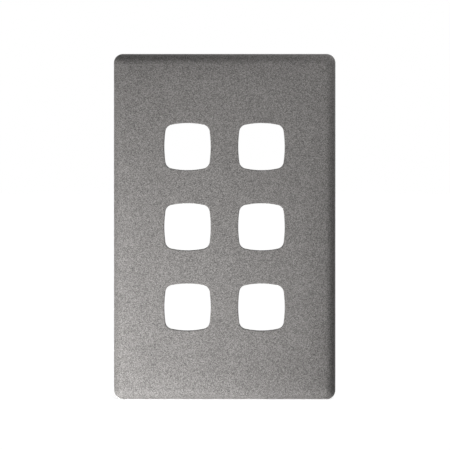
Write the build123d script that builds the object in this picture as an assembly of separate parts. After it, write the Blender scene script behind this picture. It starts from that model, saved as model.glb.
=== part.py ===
from build123d import *

import os

# A light-switch cover plate for six switches, moulded in one piece. It stands as it
# does on a wall: X runs across it, Z up it, and its front faces -Y. The origin is the
# middle of the plane that its rim touches, which is the face of the wall. Lengths are
# in millimetres, and depths run from that plane towards the front.

# Outside form
plate_width = 74.4
plate_height = 116.0
plate_depth = 9.0  # from the wall to the flat of the face
corner_radius = 3.0  # corners of the outline, seen from the front
shoulder_radius = 36.0  # shallow round that leads from the flat of the face to the roll
shoulder_turn = 9.0  # degrees that the face has turned where the roll begins
edge_roll = 4.0  # round that carries the face over into the sides
side_draft = 0.5  # degrees that the sides lean in towards the front

# Walls and rim
face_wall = 2.0
skirt_wall = 1.8
rim_bevel = 0.3  # on both edges of the rim
least_round = 0.2  # no corner of the form is sharper than this

# Openings for the switches: squares with rounded corners and bowed sides
columns = 2
rows = 3
column_pitch = 24.8
row_pitch = 26.9
opening_width = 15.6  # at its widest
opening_height = 15.8  # at its highest
side_bow = 0.64  # rise of the left and right sides over their corners
end_bow = 1.0  # rise of the top and bottom over their corners
opening_corner = 2.6
opening_lip = 0.3  # round on the front edge
collar_wall = 1.2  # wall round each opening, behind the face
collar_height = 2.4

# Stiffening ribs behind the face, on the lines between the openings and round them
rib_wall = 1.0
rib_height = 1.6

# Snap clips that grip the edge of the mounting frame behind the plate
clip_width = 7.0
clip_wall = 1.3
clip_root_wall = 1.7  # thicker where the clip springs from the face
clip_gap = 1.4  # room for the clip to bend, between it and the skirt
clip_setback = 1.6  # from the wall plane to the clip's tip
clip_spacing = 53.8  # between the two clips on a long side
hook_reach = 0.9  # how far the hook stands in from the clip
hook_lead = 1.3  # length of the sloping lead-in at the tip
hook_land = 0.4  # flat stretch at the hook's crest
hook_return = 0.5  # length of the slope that pulls the plate home

# Slot in the bottom of the skirt, for the blade that levers the plate off
pry_width = 8.0
pry_height = 1.4

# Plans are drawn on the wall plane, where their x is X and their y is Z. Sections are
# drawn level or upright, with their y towards the front.
wall_plane = Plane.XZ
level_plane = Plane.XY.rotated((180, 0, 0))
upright_plane = Plane.ZY.rotated((180, 0, 0))
facing = Axis.Y
beyond = 5.0  # how far the openings are cut past the plate


def raised(sketch, start, end):
    """Solid of that plan between two depths."""
    return extrude(wall_plane.offset(start) * sketch, amount=end - start)


def section(width, inset, set_back):
    """Section of the plate's form across a width, with its x along the wall."""
    front = plate_depth - set_back
    roll_radius = max(edge_roll - set_back, least_round)
    shoulder = JernArc((0, front), (1, 0), shoulder_radius - set_back, -shoulder_turn)
    roll = JernArc(shoulder @ 1, shoulder % 1, roll_radius, shoulder_turn + side_draft - 90)
    side = (roll % 1) * ((roll @ 1).Y / abs((roll % 1).Y))
    foot = roll @ 1 + side
    half_flat = width / 2 - inset - foot.X
    rest = Polyline(roll @ 1, foot, (-half_flat, 0), (-half_flat, front), shoulder @ 0)
    half = Pos(half_flat, 0) * make_face([shoulder, roll, rest])
    return half + mirror(half, Plane.YZ)


def plate_form(inset, set_back):
    """Solid block of the plate's form, smaller by inset at the sides and set_back in front."""
    across = section(plate_width, inset, set_back)
    along = section(plate_height, inset, set_back)
    bar_along = extrude(level_plane * across, plate_height, both=True)
    bar_across = extrude(upright_plane * along, plate_width, both=True)
    form = bar_along & bar_across
    straight = form.edges().filter_by(Axis.X) + form.edges().filter_by(Axis.Z)
    mitres = form.edges() - straight
    return fillet(mitres, max(corner_radius - inset, least_round))


def rim(shell):
    """Ring that touches the wall."""
    return shell.faces().sort_by(facing)[-1]


def opening_outline():
    """Square with bowed sides and rounded corners, centred on its own origin."""
    half_width = opening_width / 2
    half_height = opening_height / 2
    corner = Vector(half_width - side_bow, half_height - end_bow)
    right = ThreePointArc((corner.X, -corner.Y), (half_width, 0), corner)
    top = ThreePointArc(corner, (0, half_height), (-corner.X, corner.Y))
    sides = [right, top, mirror(right, Plane.YZ), mirror(top, Plane.XZ)]
    square = make_face(sides)
    return fillet(square.vertices(), opening_corner)


def at_openings(sketch):
    """That sketch at the centre of each opening."""
    places = GridLocations(column_pitch, row_pitch, columns, rows)
    return [place * sketch for place in places]


def openings():
    """Columns of air through the plate."""
    return raised(Sketch() + at_openings(opening_outline()), -beyond, plate_depth + beyond)


def shell_form():
    """Face and skirt, with the edges of the rim and of the openings eased."""
    shell = plate_form(0, 0) - plate_form(skirt_wall, face_wall)
    shell = chamfer(rim(shell).edges(), rim_bevel)
    shell -= openings()
    face = shell.faces().sort_by(facing)[0]
    mouths = [edge for wire in face.inner_wires() for edge in wire.edges()]
    return fillet(mouths, opening_lip)


def collars():
    """Walls round the openings."""
    collar = offset(opening_outline(), collar_wall)
    tip = plate_depth - face_wall - collar_height
    return [raised(plan, tip, plate_depth) for plan in at_openings(collar)]


def ribs():
    """Lattice on the lines between the openings and round them."""
    outer_uprights = [
        Pos(side * column_pitch * columns / 2, 0) * Rectangle(rib_wall, plate_height)
        for side in (-1, 1)
    ]
    inner_uprights = [
        Pos(column_pitch * (n - columns / 2), 0) * Rectangle(rib_wall, row_pitch * rows)
        for n in range(1, columns)
    ]
    levels = [
        Pos(0, row_pitch * (n - rows / 2)) * Rectangle(plate_width, rib_wall)
        for n in range(rows + 1)
    ]
    tip = plate_depth - face_wall - rib_height
    plans = outer_uprights + inner_uprights + levels
    return [raised(plan, tip, plate_depth) for plan in plans]


def clip(distance):
    """Snap clip on the right, inside a skirt whose inner face is at that distance."""
    outer = distance - clip_gap
    inner = outer - clip_wall
    crest = inner - hook_reach
    lead_end = clip_setback + hook_lead
    land_end = lead_end + hook_land
    points = [
        (outer, clip_setback),
        (inner, clip_setback),
        (crest, lead_end),
        (crest, land_end),
        (inner, land_end + hook_return),
        (inner, plate_depth),
        (inner + clip_root_wall, plate_depth),
    ]
    profile = make_face(Polyline([(x, -depth, 0) for x, depth in points], close=True))
    return extrude(profile, clip_width / 2, both=True)


def clips():
    """Two clips on each long side and one on each short side."""
    long_side = clip(plate_width / 2 - skirt_wall)
    short_side = clip(plate_height / 2 - skirt_wall)
    pair = [Pos(0, 0, z) * long_side for z in (-clip_spacing / 2, clip_spacing / 2)]
    turned = [one.rotate(facing, 180) for one in pair]
    ends = [short_side.rotate(facing, angle) for angle in (90, -90)]
    return pair + turned + ends


def pry_slot():
    """Block that cuts the slot, through the bottom of the skirt to the clip's gap."""
    slot = Box(pry_width, 2 * pry_height, 2 * skirt_wall + clip_gap)
    return Pos(0, 0, -plate_height / 2) * slot


def cover_plate():
    inside = Part() + collars() + ribs() + clips() - openings()
    halfway_through_walls = plate_form(skirt_wall / 2, face_wall / 2)
    return shell_form() + (inside & halfway_through_walls) - pry_slot()


os.makedirs("parts", exist_ok=True)
export_step(cover_plate(), "parts/cover_plate.step")
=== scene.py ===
from math import radians

import bmesh
import bpy
from mathutils import Matrix, Vector


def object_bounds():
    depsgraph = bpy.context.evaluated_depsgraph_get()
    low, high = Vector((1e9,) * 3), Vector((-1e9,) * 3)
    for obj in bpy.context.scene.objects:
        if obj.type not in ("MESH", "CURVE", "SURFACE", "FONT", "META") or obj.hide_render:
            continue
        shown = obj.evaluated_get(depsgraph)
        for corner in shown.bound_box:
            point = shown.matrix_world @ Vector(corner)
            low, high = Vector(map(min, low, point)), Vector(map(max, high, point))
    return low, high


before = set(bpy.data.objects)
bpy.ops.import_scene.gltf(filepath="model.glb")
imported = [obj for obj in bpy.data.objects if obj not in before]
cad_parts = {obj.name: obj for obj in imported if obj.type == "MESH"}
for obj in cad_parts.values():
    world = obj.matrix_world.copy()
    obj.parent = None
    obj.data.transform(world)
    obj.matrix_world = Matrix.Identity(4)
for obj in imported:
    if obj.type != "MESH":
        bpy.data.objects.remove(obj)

bl_info = {
    "name": "Switch Plate Studio",
    "version": (1, 0, 0),
    "blender": (4, 5, 0),
    "location": "3D View > Sidebar > Switch Plate",
    "description": "Coats the cover plate of six light switches and lights it in a studio",
    "category": "Object",
}

CAD_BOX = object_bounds()
PLATE = "cover_plate"
SLOT = "satin_metallic_coat"
MM = 0.001
WHITE = (1.0, 1.0, 1.0, 1.0)
HALFWAY = 0.5  # middle of a noise or of a flake's random values, which run from 0 to 1
NEAREST_SHOWN = 0.01  # shares of the camera's distance between which it shows things
FARTHEST_SHOWN = 10.0


class CoatSettings(bpy.types.PropertyGroup):
    """Colours and grain of the satin metallic coat."""

    colour: bpy.props.FloatVectorProperty(
        name="Colour",
        description="Colour of the coat between its flakes",
        subtype="COLOR",
        size=3,
        min=0.0,
        max=1.0,
        default=(0.244, 0.235, 0.229),
    )
    flake_size: bpy.props.FloatProperty(
        name="Flake Size",
        description="Width of the metal flakes that show as grain",
        subtype="DISTANCE",
        unit="LENGTH",
        min=0.0001,
        default=0.21 * MM,
    )
    dust_size: bpy.props.FloatProperty(
        name="Dust Size",
        description="Width of the finest grain between the flakes",
        subtype="DISTANCE",
        unit="LENGTH",
        min=0.00005,
        default=0.2 * MM,
    )
    drift_size: bpy.props.FloatProperty(
        name="Drift Size",
        description="Width of the faint patches where the spray lies thicker or thinner",
        subtype="DISTANCE",
        unit="LENGTH",
        min=0.001,
        default=9.0 * MM,
    )
    flake_contrast: bpy.props.FloatProperty(
        name="Flake Contrast",
        description="Share by which the flakes differ from the colour, lighter and darker",
        subtype="FACTOR",
        min=0.0,
        max=1.5,
        default=1.05,
    )
    dust_contrast: bpy.props.FloatProperty(
        name="Dust Contrast",
        description="Share by which the finest grain differs from the colour",
        subtype="FACTOR",
        min=0.0,
        max=1.0,
        default=0.8,
    )
    drift_contrast: bpy.props.FloatProperty(
        name="Drift Contrast",
        description="Share by which the patches differ from the colour",
        subtype="FACTOR",
        min=0.0,
        max=1.0,
        default=0.18,
    )
    relief: bpy.props.FloatProperty(
        name="Relief",
        description="Height of the grain",
        subtype="DISTANCE",
        unit="LENGTH",
        min=0.0,
        default=0.036 * MM,
    )
    roughness: bpy.props.FloatProperty(
        name="Roughness",
        description="How far the coat spreads its reflections",
        subtype="FACTOR",
        min=0.0,
        max=1.0,
        default=0.5,
    )
    roughness_swing: bpy.props.FloatProperty(
        name="Roughness Swing",
        description="How much rougher or smoother single flakes are",
        subtype="FACTOR",
        min=0.0,
        max=0.5,
        default=0.12,
    )
    specular: bpy.props.FloatProperty(
        name="Specular",
        description="Strength of the reflections, on the coat and on the bare plastic",
        subtype="FACTOR",
        min=0.0,
        max=1.0,
        default=0.1,
    )
    metallic: bpy.props.FloatProperty(
        name="Metallic",
        description="Share of the surface that is metal flake",
        subtype="FACTOR",
        min=0.0,
        max=1.0,
        default=0.03,
    )


class BareSettings(bpy.types.PropertyGroup):
    """Plastic of the moulding, bare where the coat was not sprayed."""

    colour: bpy.props.FloatVectorProperty(
        name="Colour",
        description="Colour of the plastic",
        subtype="COLOR",
        size=3,
        min=0.0,
        max=1.0,
        default=(0.17, 0.167, 0.163),
    )
    mottle: bpy.props.FloatProperty(
        name="Mottle",
        description="Share by which the plastic differs from its colour, by place",
        subtype="FACTOR",
        min=0.0,
        max=1.0,
        default=0.25,
    )
    mottle_size: bpy.props.FloatProperty(
        name="Mottle Size",
        description="Width of the patches in the plastic",
        subtype="DISTANCE",
        unit="LENGTH",
        min=0.0005,
        default=6.0 * MM,
    )
    texture_size: bpy.props.FloatProperty(
        name="Texture Size",
        description="Width of the fine texture that the mould leaves",
        subtype="DISTANCE",
        unit="LENGTH",
        min=0.00005,
        default=0.3 * MM,
    )
    texture_height: bpy.props.FloatProperty(
        name="Texture Height",
        description="Height of that texture",
        subtype="DISTANCE",
        unit="LENGTH",
        min=0.0,
        default=0.01 * MM,
    )
    roughness: bpy.props.FloatProperty(
        name="Roughness",
        description="How far the plastic spreads its reflections",
        subtype="FACTOR",
        min=0.0,
        max=1.0,
        default=0.5,
    )
    coat_reach: bpy.props.FloatProperty(
        name="Coat Reach",
        description="How far the coat reaches into the openings from the front",
        subtype="DISTANCE",
        unit="LENGTH",
        min=0.0,
        default=1.1 * MM,
    )
    coat_fray: bpy.props.FloatProperty(
        name="Coat Fray",
        description="Depth over which the coat thins out there",
        subtype="DISTANCE",
        unit="LENGTH",
        min=0.00001,
        default=0.4 * MM,
    )
    least_front: bpy.props.FloatProperty(
        name="Least Front",
        description="Slope towards the front, as a cosine, from which a surface is coated",
        subtype="FACTOR",
        min=0.0,
        max=1.0,
        default=0.004,
    )


class StageSettings(bpy.types.PropertyGroup):
    """Floor, lamps, surroundings and camera."""

    floor_level: bpy.props.FloatProperty(
        name="Floor Level",
        description="Height of the floor, at the foot of the plate",
        subtype="DISTANCE",
        unit="LENGTH",
        default=CAD_BOX[0].z,
    )
    floor_size: bpy.props.FloatProperty(
        name="Floor Size",
        description="Length of a side of the floor",
        subtype="DISTANCE",
        unit="LENGTH",
        min=0.1,
        default=12.0,
    )
    floor_colour: bpy.props.FloatVectorProperty(
        name="Floor Colour",
        description="Colour of the floor",
        subtype="COLOR",
        size=3,
        min=0.0,
        max=1.0,
        default=(0.8, 0.8, 0.8),
    )
    floor_glow: bpy.props.FloatProperty(
        name="Floor Glow",
        description="Floor's own brightness to the camera and in reflections",
        subtype="FACTOR",
        min=0.0,
        max=1.0,
        default=0.76,
    )
    surround: bpy.props.FloatProperty(
        name="Surround",
        description="Brightness of the light that comes from all round",
        subtype="FACTOR",
        min=0.0,
        max=1.0,
        default=0.11,
    )
    key_place: bpy.props.FloatVectorProperty(
        name="Key Place",
        description="Place of the lamp that lights the plate from the lower left",
        subtype="TRANSLATION",
        unit="LENGTH",
        size=3,
        default=(-0.111, -0.16, -0.155),
    )
    key_aim: bpy.props.FloatVectorProperty(
        name="Key Aim",
        description="Point on the plate that this lamp faces",
        subtype="TRANSLATION",
        unit="LENGTH",
        size=3,
        default=(-0.041, -0.0045, -0.032),
    )
    key_spread: bpy.props.FloatProperty(
        name="Key Spread",
        description="Angle over which that lamp's grid lets its light out",
        subtype="ANGLE",
        unit="ROTATION",
        min=radians(10),
        max=radians(180),
        default=radians(70),
    )
    key_size: bpy.props.FloatProperty(
        name="Key Size",
        description="Width of that lamp",
        subtype="DISTANCE",
        unit="LENGTH",
        min=0.01,
        default=0.118,
    )
    key_power: bpy.props.FloatProperty(
        name="Key Power",
        description="Power of that lamp, in watts",
        unit="POWER",
        min=0.0,
        default=0.164,
    )
    fill_place: bpy.props.FloatVectorProperty(
        name="Fill Place",
        description="Place of the weaker lamp that lights the plate from the upper right",
        subtype="TRANSLATION",
        unit="LENGTH",
        size=3,
        default=(0.068, -0.033, 0.102),
    )
    fill_size: bpy.props.FloatProperty(
        name="Fill Size",
        description="Width of that lamp",
        subtype="DISTANCE",
        unit="LENGTH",
        min=0.01,
        default=0.12,
    )
    fill_power: bpy.props.FloatProperty(
        name="Fill Power",
        description="Power of that lamp, in watts",
        unit="POWER",
        min=0.0,
        default=0.034,
    )
    back_side: bpy.props.FloatVectorProperty(
        name="Back Side",
        description="Direction, from the plate, that the light on its back comes from",
        subtype="XYZ",
        size=3,
        default=(-0.25, 1.0, -0.3),
    )
    back_strength: bpy.props.FloatProperty(
        name="Back Strength",
        description="Strength of the light on the plate's back, in watts a square metre",
        subtype="UNSIGNED",
        min=0.0,
        default=3.4,
    )
    back_softness: bpy.props.FloatProperty(
        name="Back Softness",
        description="Angle that this lamp fills, which softens the shadows on the back",
        subtype="ANGLE",
        unit="ROTATION",
        min=0.0,
        max=radians(90),
        default=radians(24),
    )
    floor_side: bpy.props.FloatVectorProperty(
        name="Floor Light Side",
        description="Direction, from the plate's foot, that the floor's light comes from",
        subtype="XYZ",
        size=3,
        default=(0.0, -0.5, 1.0),
    )
    floor_strength: bpy.props.FloatProperty(
        name="Floor Light Strength",
        description="Strength of the light on the floor, in watts a square metre",
        subtype="UNSIGNED",
        min=0.0,
        default=0.8,
    )
    floor_softness: bpy.props.FloatProperty(
        name="Floor Light Softness",
        description="Angle that this lamp fills, which softens the plate's shadow",
        subtype="ANGLE",
        unit="ROTATION",
        min=0.0,
        max=radians(90),
        default=radians(14),
    )
    camera_distance: bpy.props.FloatProperty(
        name="Camera Distance",
        description="Distance from the camera to the middle of the plate",
        subtype="DISTANCE",
        unit="LENGTH",
        min=0.1,
        default=3.0,
    )
    camera_right: bpy.props.FloatProperty(
        name="Camera Right",
        description="How far the camera stands to the right of the picture's middle",
        subtype="DISTANCE",
        unit="LENGTH",
        default=47.0 * MM,
    )
    camera_up: bpy.props.FloatProperty(
        name="Camera Up",
        description="How far the camera stands above the picture's middle",
        subtype="DISTANCE",
        unit="LENGTH",
        default=45.0 * MM,
    )
    picture_width: bpy.props.FloatProperty(
        name="Picture Width",
        description="Width that the picture takes in at the plate",
        subtype="DISTANCE",
        unit="LENGTH",
        min=0.01,
        default=150.8 * MM,
    )
    picture_right: bpy.props.FloatProperty(
        name="Picture Right",
        description="How far the picture's middle is to the right of the plate's middle",
        subtype="DISTANCE",
        unit="LENGTH",
        default=0.21 * MM,
    )
    picture_up: bpy.props.FloatProperty(
        name="Picture Up",
        description="How far the picture's middle is above the plate's middle",
        subtype="DISTANCE",
        unit="LENGTH",
        default=0.645 * MM,
    )


class Nodes:
    """Short calls that add and join the nodes of a material or a world."""

    def __init__(self, tree):
        self.tree = tree
        tree.nodes.clear()

    def add(self, kind, **settings):
        """Node of that kind, with its own settings."""
        node = self.tree.nodes.new(kind)
        for name, value in settings.items():
            setattr(node, name, value)
        return node

    def set(self, node, **values):
        """Values or links into a node's inputs, whose spaces are written as underscores."""
        for name, value in values.items():
            self.feed(node.inputs[name.replace("_", " ")], value)

    def feed(self, socket, value):
        """A value or a link into one input."""
        if isinstance(value, bpy.types.NodeSocket):
            self.tree.links.new(value, socket)
        else:
            socket.default_value = value

    def math(self, operation, *values, clamp=False):
        """Result of one step of arithmetic."""
        node = self.add("ShaderNodeMath", operation=operation, use_clamp=clamp)
        for socket, value in zip(node.inputs, values):
            self.feed(socket, value)
        return node.outputs["Value"]

    def scaled(self, vector, factor):
        """Vector times a number."""
        node = self.add("ShaderNodeVectorMath", operation="SCALE")
        self.feed(node.inputs["Vector"], vector)
        self.feed(node.inputs["Scale"], factor)
        return node.outputs["Vector"]

    def mixed(self, kind, factor, first, second):
        """First where the factor is 0 and second where it is 1."""
        node = self.add("ShaderNodeMix", data_type=kind)
        used = [socket for socket in node.inputs if socket.enabled]
        for socket, value in zip(used, (factor, first, second)):
            self.feed(socket, value)
        return next(socket for socket in node.outputs if socket.enabled)

    def noise(self, place, width, detail, roughness):
        """Noise from 0 to 1, in patches of about that width."""
        node = self.add("ShaderNodeTexNoise")
        self.set(node, Vector=place, Scale=1 / width, Detail=detail, Roughness=roughness)
        return node.outputs["Fac"]

    def swing(self, value, reach):
        """Value from 0 to 1, turned into a factor of 1 plus or minus half the reach."""
        centred = self.math("SUBTRACT", value, HALFWAY)
        return self.math("MULTIPLY_ADD", centred, reach, 1.0)


def show_to_lens(nodes):
    """1 for rays that show the surroundings themselves, and 0 for those that light."""
    path = nodes.add("ShaderNodeLightPath").outputs
    seen = nodes.math("ADD", path["Is Camera Ray"], path["Is Glossy Ray"])
    return nodes.math("ADD", seen, path["Is Transmission Ray"], clamp=True)


def coated_share(nodes, bare, place, facing):
    """1 where spray from the front lands, 0 behind the face and deep in the openings."""
    normal = nodes.add("ShaderNodeSeparateXYZ")
    nodes.set(normal, Vector=facing)
    towards_front = nodes.math("LESS_THAN", normal.outputs["Y"], -bare.least_front)
    point = nodes.add("ShaderNodeSeparateXYZ")
    nodes.set(point, Vector=place)
    coat_end = CAD_BOX[0].y + bare.coat_reach
    before_end = nodes.math("SUBTRACT", coat_end, point.outputs["Y"])
    thinning = nodes.math("DIVIDE", before_end, bare.coat_fray, clamp=True)
    return nodes.math("MAXIMUM", towards_front, thinning)


def flake_layer(nodes, settings, place):
    """Colour, height and roughness of a coat with flakes, dust and a drift of the spray."""
    flakes = nodes.add("ShaderNodeTexVoronoi", feature="F1", distance="EUCLIDEAN")
    nodes.set(flakes, Vector=place, Scale=1 / settings.flake_size)
    tint = nodes.add("ShaderNodeSeparateColor")
    nodes.set(tint, Color=flakes.outputs["Color"])
    shade, lean, polish = (tint.outputs[channel] for channel in ("Red", "Green", "Blue"))
    dust = nodes.noise(place, settings.dust_size, detail=1.0, roughness=0.6)
    drift = nodes.noise(place, settings.drift_size, detail=3.0, roughness=0.5)

    by_flake = nodes.swing(shade, settings.flake_contrast)
    by_dust = nodes.swing(dust, settings.dust_contrast)
    by_drift = nodes.swing(drift, settings.drift_contrast)
    light = nodes.math("MULTIPLY", nodes.math("MULTIPLY", by_flake, by_dust), by_drift)
    colour = nodes.scaled(tuple(settings.colour), light)
    height = nodes.math("MULTIPLY", nodes.math("ADD", lean, dust), settings.relief)
    by_polish = nodes.swing(polish, settings.roughness_swing)
    roughness = nodes.math("MULTIPLY", by_polish, settings.roughness)
    return colour, height, roughness


def bare_layer(nodes, bare, place):
    """Colour and height of the plastic, faintly mottled and with the mould's texture."""
    patches = nodes.noise(place, bare.mottle_size, detail=4.0, roughness=0.5)
    texture = nodes.noise(place, bare.texture_size, detail=2.0, roughness=0.5)
    colour = nodes.scaled(tuple(bare.colour), nodes.swing(patches, bare.mottle))
    height = nodes.math("MULTIPLY", texture, bare.texture_height)
    return colour, height


def coat_material(settings, bare):
    """Satin metallic coat on the front and the sides, over plastic that is bare behind."""
    material = bpy.data.materials.new(SLOT)
    material.use_nodes = True
    nodes = Nodes(material.node_tree)
    coordinates = nodes.add("ShaderNodeTexCoord").outputs
    place = coordinates["Object"]

    coated = coated_share(nodes, bare, place, coordinates["Normal"])
    coat_colour, coat_height, coat_roughness = flake_layer(nodes, settings, place)
    bare_colour, bare_height = bare_layer(nodes, bare, place)
    colour = nodes.mixed("RGBA", coated, bare_colour, coat_colour)
    roughness = nodes.mixed("FLOAT", coated, bare.roughness, coat_roughness)
    height = nodes.mixed("FLOAT", coated, bare_height, coat_height)
    relief = nodes.add("ShaderNodeBump")
    nodes.set(relief, Height=height, Distance=1.0, Strength=1.0)

    surface = nodes.add("ShaderNodeBsdfPrincipled")
    nodes.set(
        surface,
        Base_Color=colour,
        Metallic=settings.metallic,
        Roughness=roughness,
        Specular_IOR_Level=settings.specular,
        Normal=relief.outputs["Normal"],
    )
    out = nodes.add("ShaderNodeOutputMaterial")
    nodes.set(out, Surface=surface.outputs["BSDF"])
    return material


def floor_material(settings):
    """Pale floor that shows white to the camera and keeps shadows."""
    material = bpy.data.materials.new("pale_floor")
    material.use_nodes = True
    nodes = Nodes(material.node_tree)
    matt = nodes.add("ShaderNodeBsdfDiffuse")
    nodes.set(matt, Color=(*settings.floor_colour, 1.0))
    glow = nodes.add("ShaderNodeEmission")
    strength = nodes.math("MULTIPLY", show_to_lens(nodes), settings.floor_glow)
    nodes.set(glow, Color=WHITE, Strength=strength)
    both = nodes.add("ShaderNodeAddShader")
    nodes.feed(both.inputs[0], matt.outputs["BSDF"])
    nodes.feed(both.inputs[1], glow.outputs["Emission"])
    out = nodes.add("ShaderNodeOutputMaterial")
    nodes.set(out, Surface=both.outputs["Shader"])
    return material


def surround_world(settings):
    """World that shows white and lights softly from all round."""
    world = bpy.data.worlds.new("soft_surround")
    world.use_nodes = True
    nodes = Nodes(world.node_tree)
    more = nodes.math("MULTIPLY", show_to_lens(nodes), 1.0 - settings.surround)
    strength = nodes.math("ADD", more, settings.surround)
    sky = nodes.add("ShaderNodeBackground")
    nodes.set(sky, Color=WHITE, Strength=strength)
    out = nodes.add("ShaderNodeOutputWorld")
    nodes.set(out, Surface=sky.outputs["Background"])
    return world


def turn_towards(direction):
    """Turn that faces a lamp or a camera in that direction, with its top up."""
    return direction.to_track_quat("-Z", "Y").to_euler()


def place_lamp(data, place, target):
    """Lamp that faces the target, out of the camera's sight."""
    lamp = bpy.data.objects.new(data.name, data)
    lamp.location = place
    lamp.rotation_euler = turn_towards(Vector(target) - Vector(place))
    lamp.visible_camera = False
    bpy.context.scene.collection.objects.link(lamp)
    return lamp


def area_lamp(name, size, power):
    """Square lamp of that width."""
    data = bpy.data.lights.new(name, "AREA")
    data.shape = "SQUARE"
    data.size = size
    data.energy = power
    return data


def far_lamp(name, softness, strength):
    """Even light from one side."""
    data = bpy.data.lights.new(name, "SUN")
    data.angle = softness
    data.energy = strength
    return data


class PLATE_OT_coat(bpy.types.Operator):
    """Coats the front and sides of the plate and leaves its plastic bare behind"""

    bl_idname = "plate.coat"
    bl_label = "Coat the Plate"

    def execute(self, context):
        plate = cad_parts[PLATE]
        material = coat_material(context.scene.plate_coat, context.scene.plate_bare)
        if not plate.material_slots:
            plate.data.materials.append(material)
        for material_slot in plate.material_slots:
            material_slot.material = material
        return {"FINISHED"}


class PLATE_OT_stage(bpy.types.Operator):
    """Sets up the floor, the lamps, the surroundings and the camera"""

    bl_idname = "plate.stage"
    bl_label = "Set the Stage"

    def execute(self, context):
        scene = context.scene
        settings = scene.plate_stage
        scene.view_settings.view_transform = "Standard"
        floor = self.lay_floor(scene, settings)
        scene.world = surround_world(settings)
        self.place_lamps(settings)
        self.light_floor(floor, settings)
        self.place_camera(scene, settings)
        return {"FINISHED"}

    def lay_floor(self, scene, settings):
        """Flat square under the plate, which casts no shadow and no light on it."""
        half = settings.floor_size / 2
        level = Matrix.Translation((0.0, 0.0, settings.floor_level))
        grid = bmesh.new()
        bmesh.ops.create_grid(grid, x_segments=1, y_segments=1, size=half, matrix=level)
        mesh = bpy.data.meshes.new("floor")
        grid.to_mesh(mesh)
        grid.free()
        mesh.materials.append(floor_material(settings))
        floor = bpy.data.objects.new("floor", mesh)
        floor.visible_shadow = False
        floor.visible_diffuse = False
        scene.collection.objects.link(floor)
        return floor

    def place_lamps(self, settings):
        """Key at the lower left, a weaker lamp at the upper right and a far one behind."""
        middle = (CAD_BOX[0] + CAD_BOX[1]) / 2
        key = area_lamp("key", settings.key_size, settings.key_power)
        key.spread = settings.key_spread
        place_lamp(key, settings.key_place, settings.key_aim)
        fill = area_lamp("fill", settings.fill_size, settings.fill_power)
        place_lamp(fill, settings.fill_place, middle)
        back = far_lamp("back", settings.back_softness, settings.back_strength)
        place_lamp(back, middle + Vector(settings.back_side), middle)

    def light_floor(self, floor, settings):
        """Lamp that lights the floor alone, on which the plate's shadow falls."""
        foot = Vector((0.0, 0.0, settings.floor_level))
        data = far_lamp("floor_light", settings.floor_softness, settings.floor_strength)
        lamp = place_lamp(data, foot + Vector(settings.floor_side), foot)
        lit = bpy.data.collections.new("floor_only")
        lit.objects.link(floor)
        lamp.light_linking.receiver_collection = lit

    def place_camera(self, scene, settings):
        """Long lens in front of the plate, a little to the right and above."""
        distance = settings.camera_distance
        data = bpy.data.cameras.new("camera")
        data.lens = data.sensor_width * distance / settings.picture_width
        data.clip_start = distance * NEAREST_SHOWN
        data.clip_end = distance * FARTHEST_SHOWN
        camera = bpy.data.objects.new("camera", data)
        middle = Vector((settings.picture_right, CAD_BOX[0].y, settings.picture_up))
        aside = Vector((settings.camera_right, -distance, settings.camera_up))
        camera.location = middle + aside
        camera.rotation_euler = turn_towards(-aside)
        scene.collection.objects.link(camera)
        scene.camera = camera


class PLATE_PT_sidebar(bpy.types.Panel):
    """Sizes, colours and steps of the switch plate"""

    bl_idname = "PLATE_PT_sidebar"
    bl_label = "Switch Plate"
    bl_space_type = "VIEW_3D"
    bl_region_type = "UI"
    bl_category = "Switch Plate"

    def draw(self, context):
        for operator, groups in STEPS:
            box = self.layout.box()
            for group in groups:
                settings = getattr(context.scene, group)
                for name in settings.bl_rna.properties.keys():
                    if name not in ("rna_type", "name"):
                        box.prop(settings, name)
            box.operator(operator.bl_idname)


STEPS = ((PLATE_OT_coat, ("plate_coat", "plate_bare")), (PLATE_OT_stage, ("plate_stage",)))
CLASSES = (
    CoatSettings,
    BareSettings,
    StageSettings,
    PLATE_OT_coat,
    PLATE_OT_stage,
    PLATE_PT_sidebar,
)


def register():
    for one in CLASSES:
        bpy.utils.register_class(one)
    bpy.types.Scene.plate_coat = bpy.props.PointerProperty(type=CoatSettings)
    bpy.types.Scene.plate_bare = bpy.props.PointerProperty(type=BareSettings)
    bpy.types.Scene.plate_stage = bpy.props.PointerProperty(type=StageSettings)


def unregister():
    del bpy.types.Scene.plate_stage
    del bpy.types.Scene.plate_bare
    del bpy.types.Scene.plate_coat
    for one in reversed(CLASSES):
        bpy.utils.unregister_class(one)


def main():
    """Builds the scene."""
    register()
    bpy.ops.plate.coat()
    bpy.ops.plate.stage()


if __name__ == "__main__":
    main()
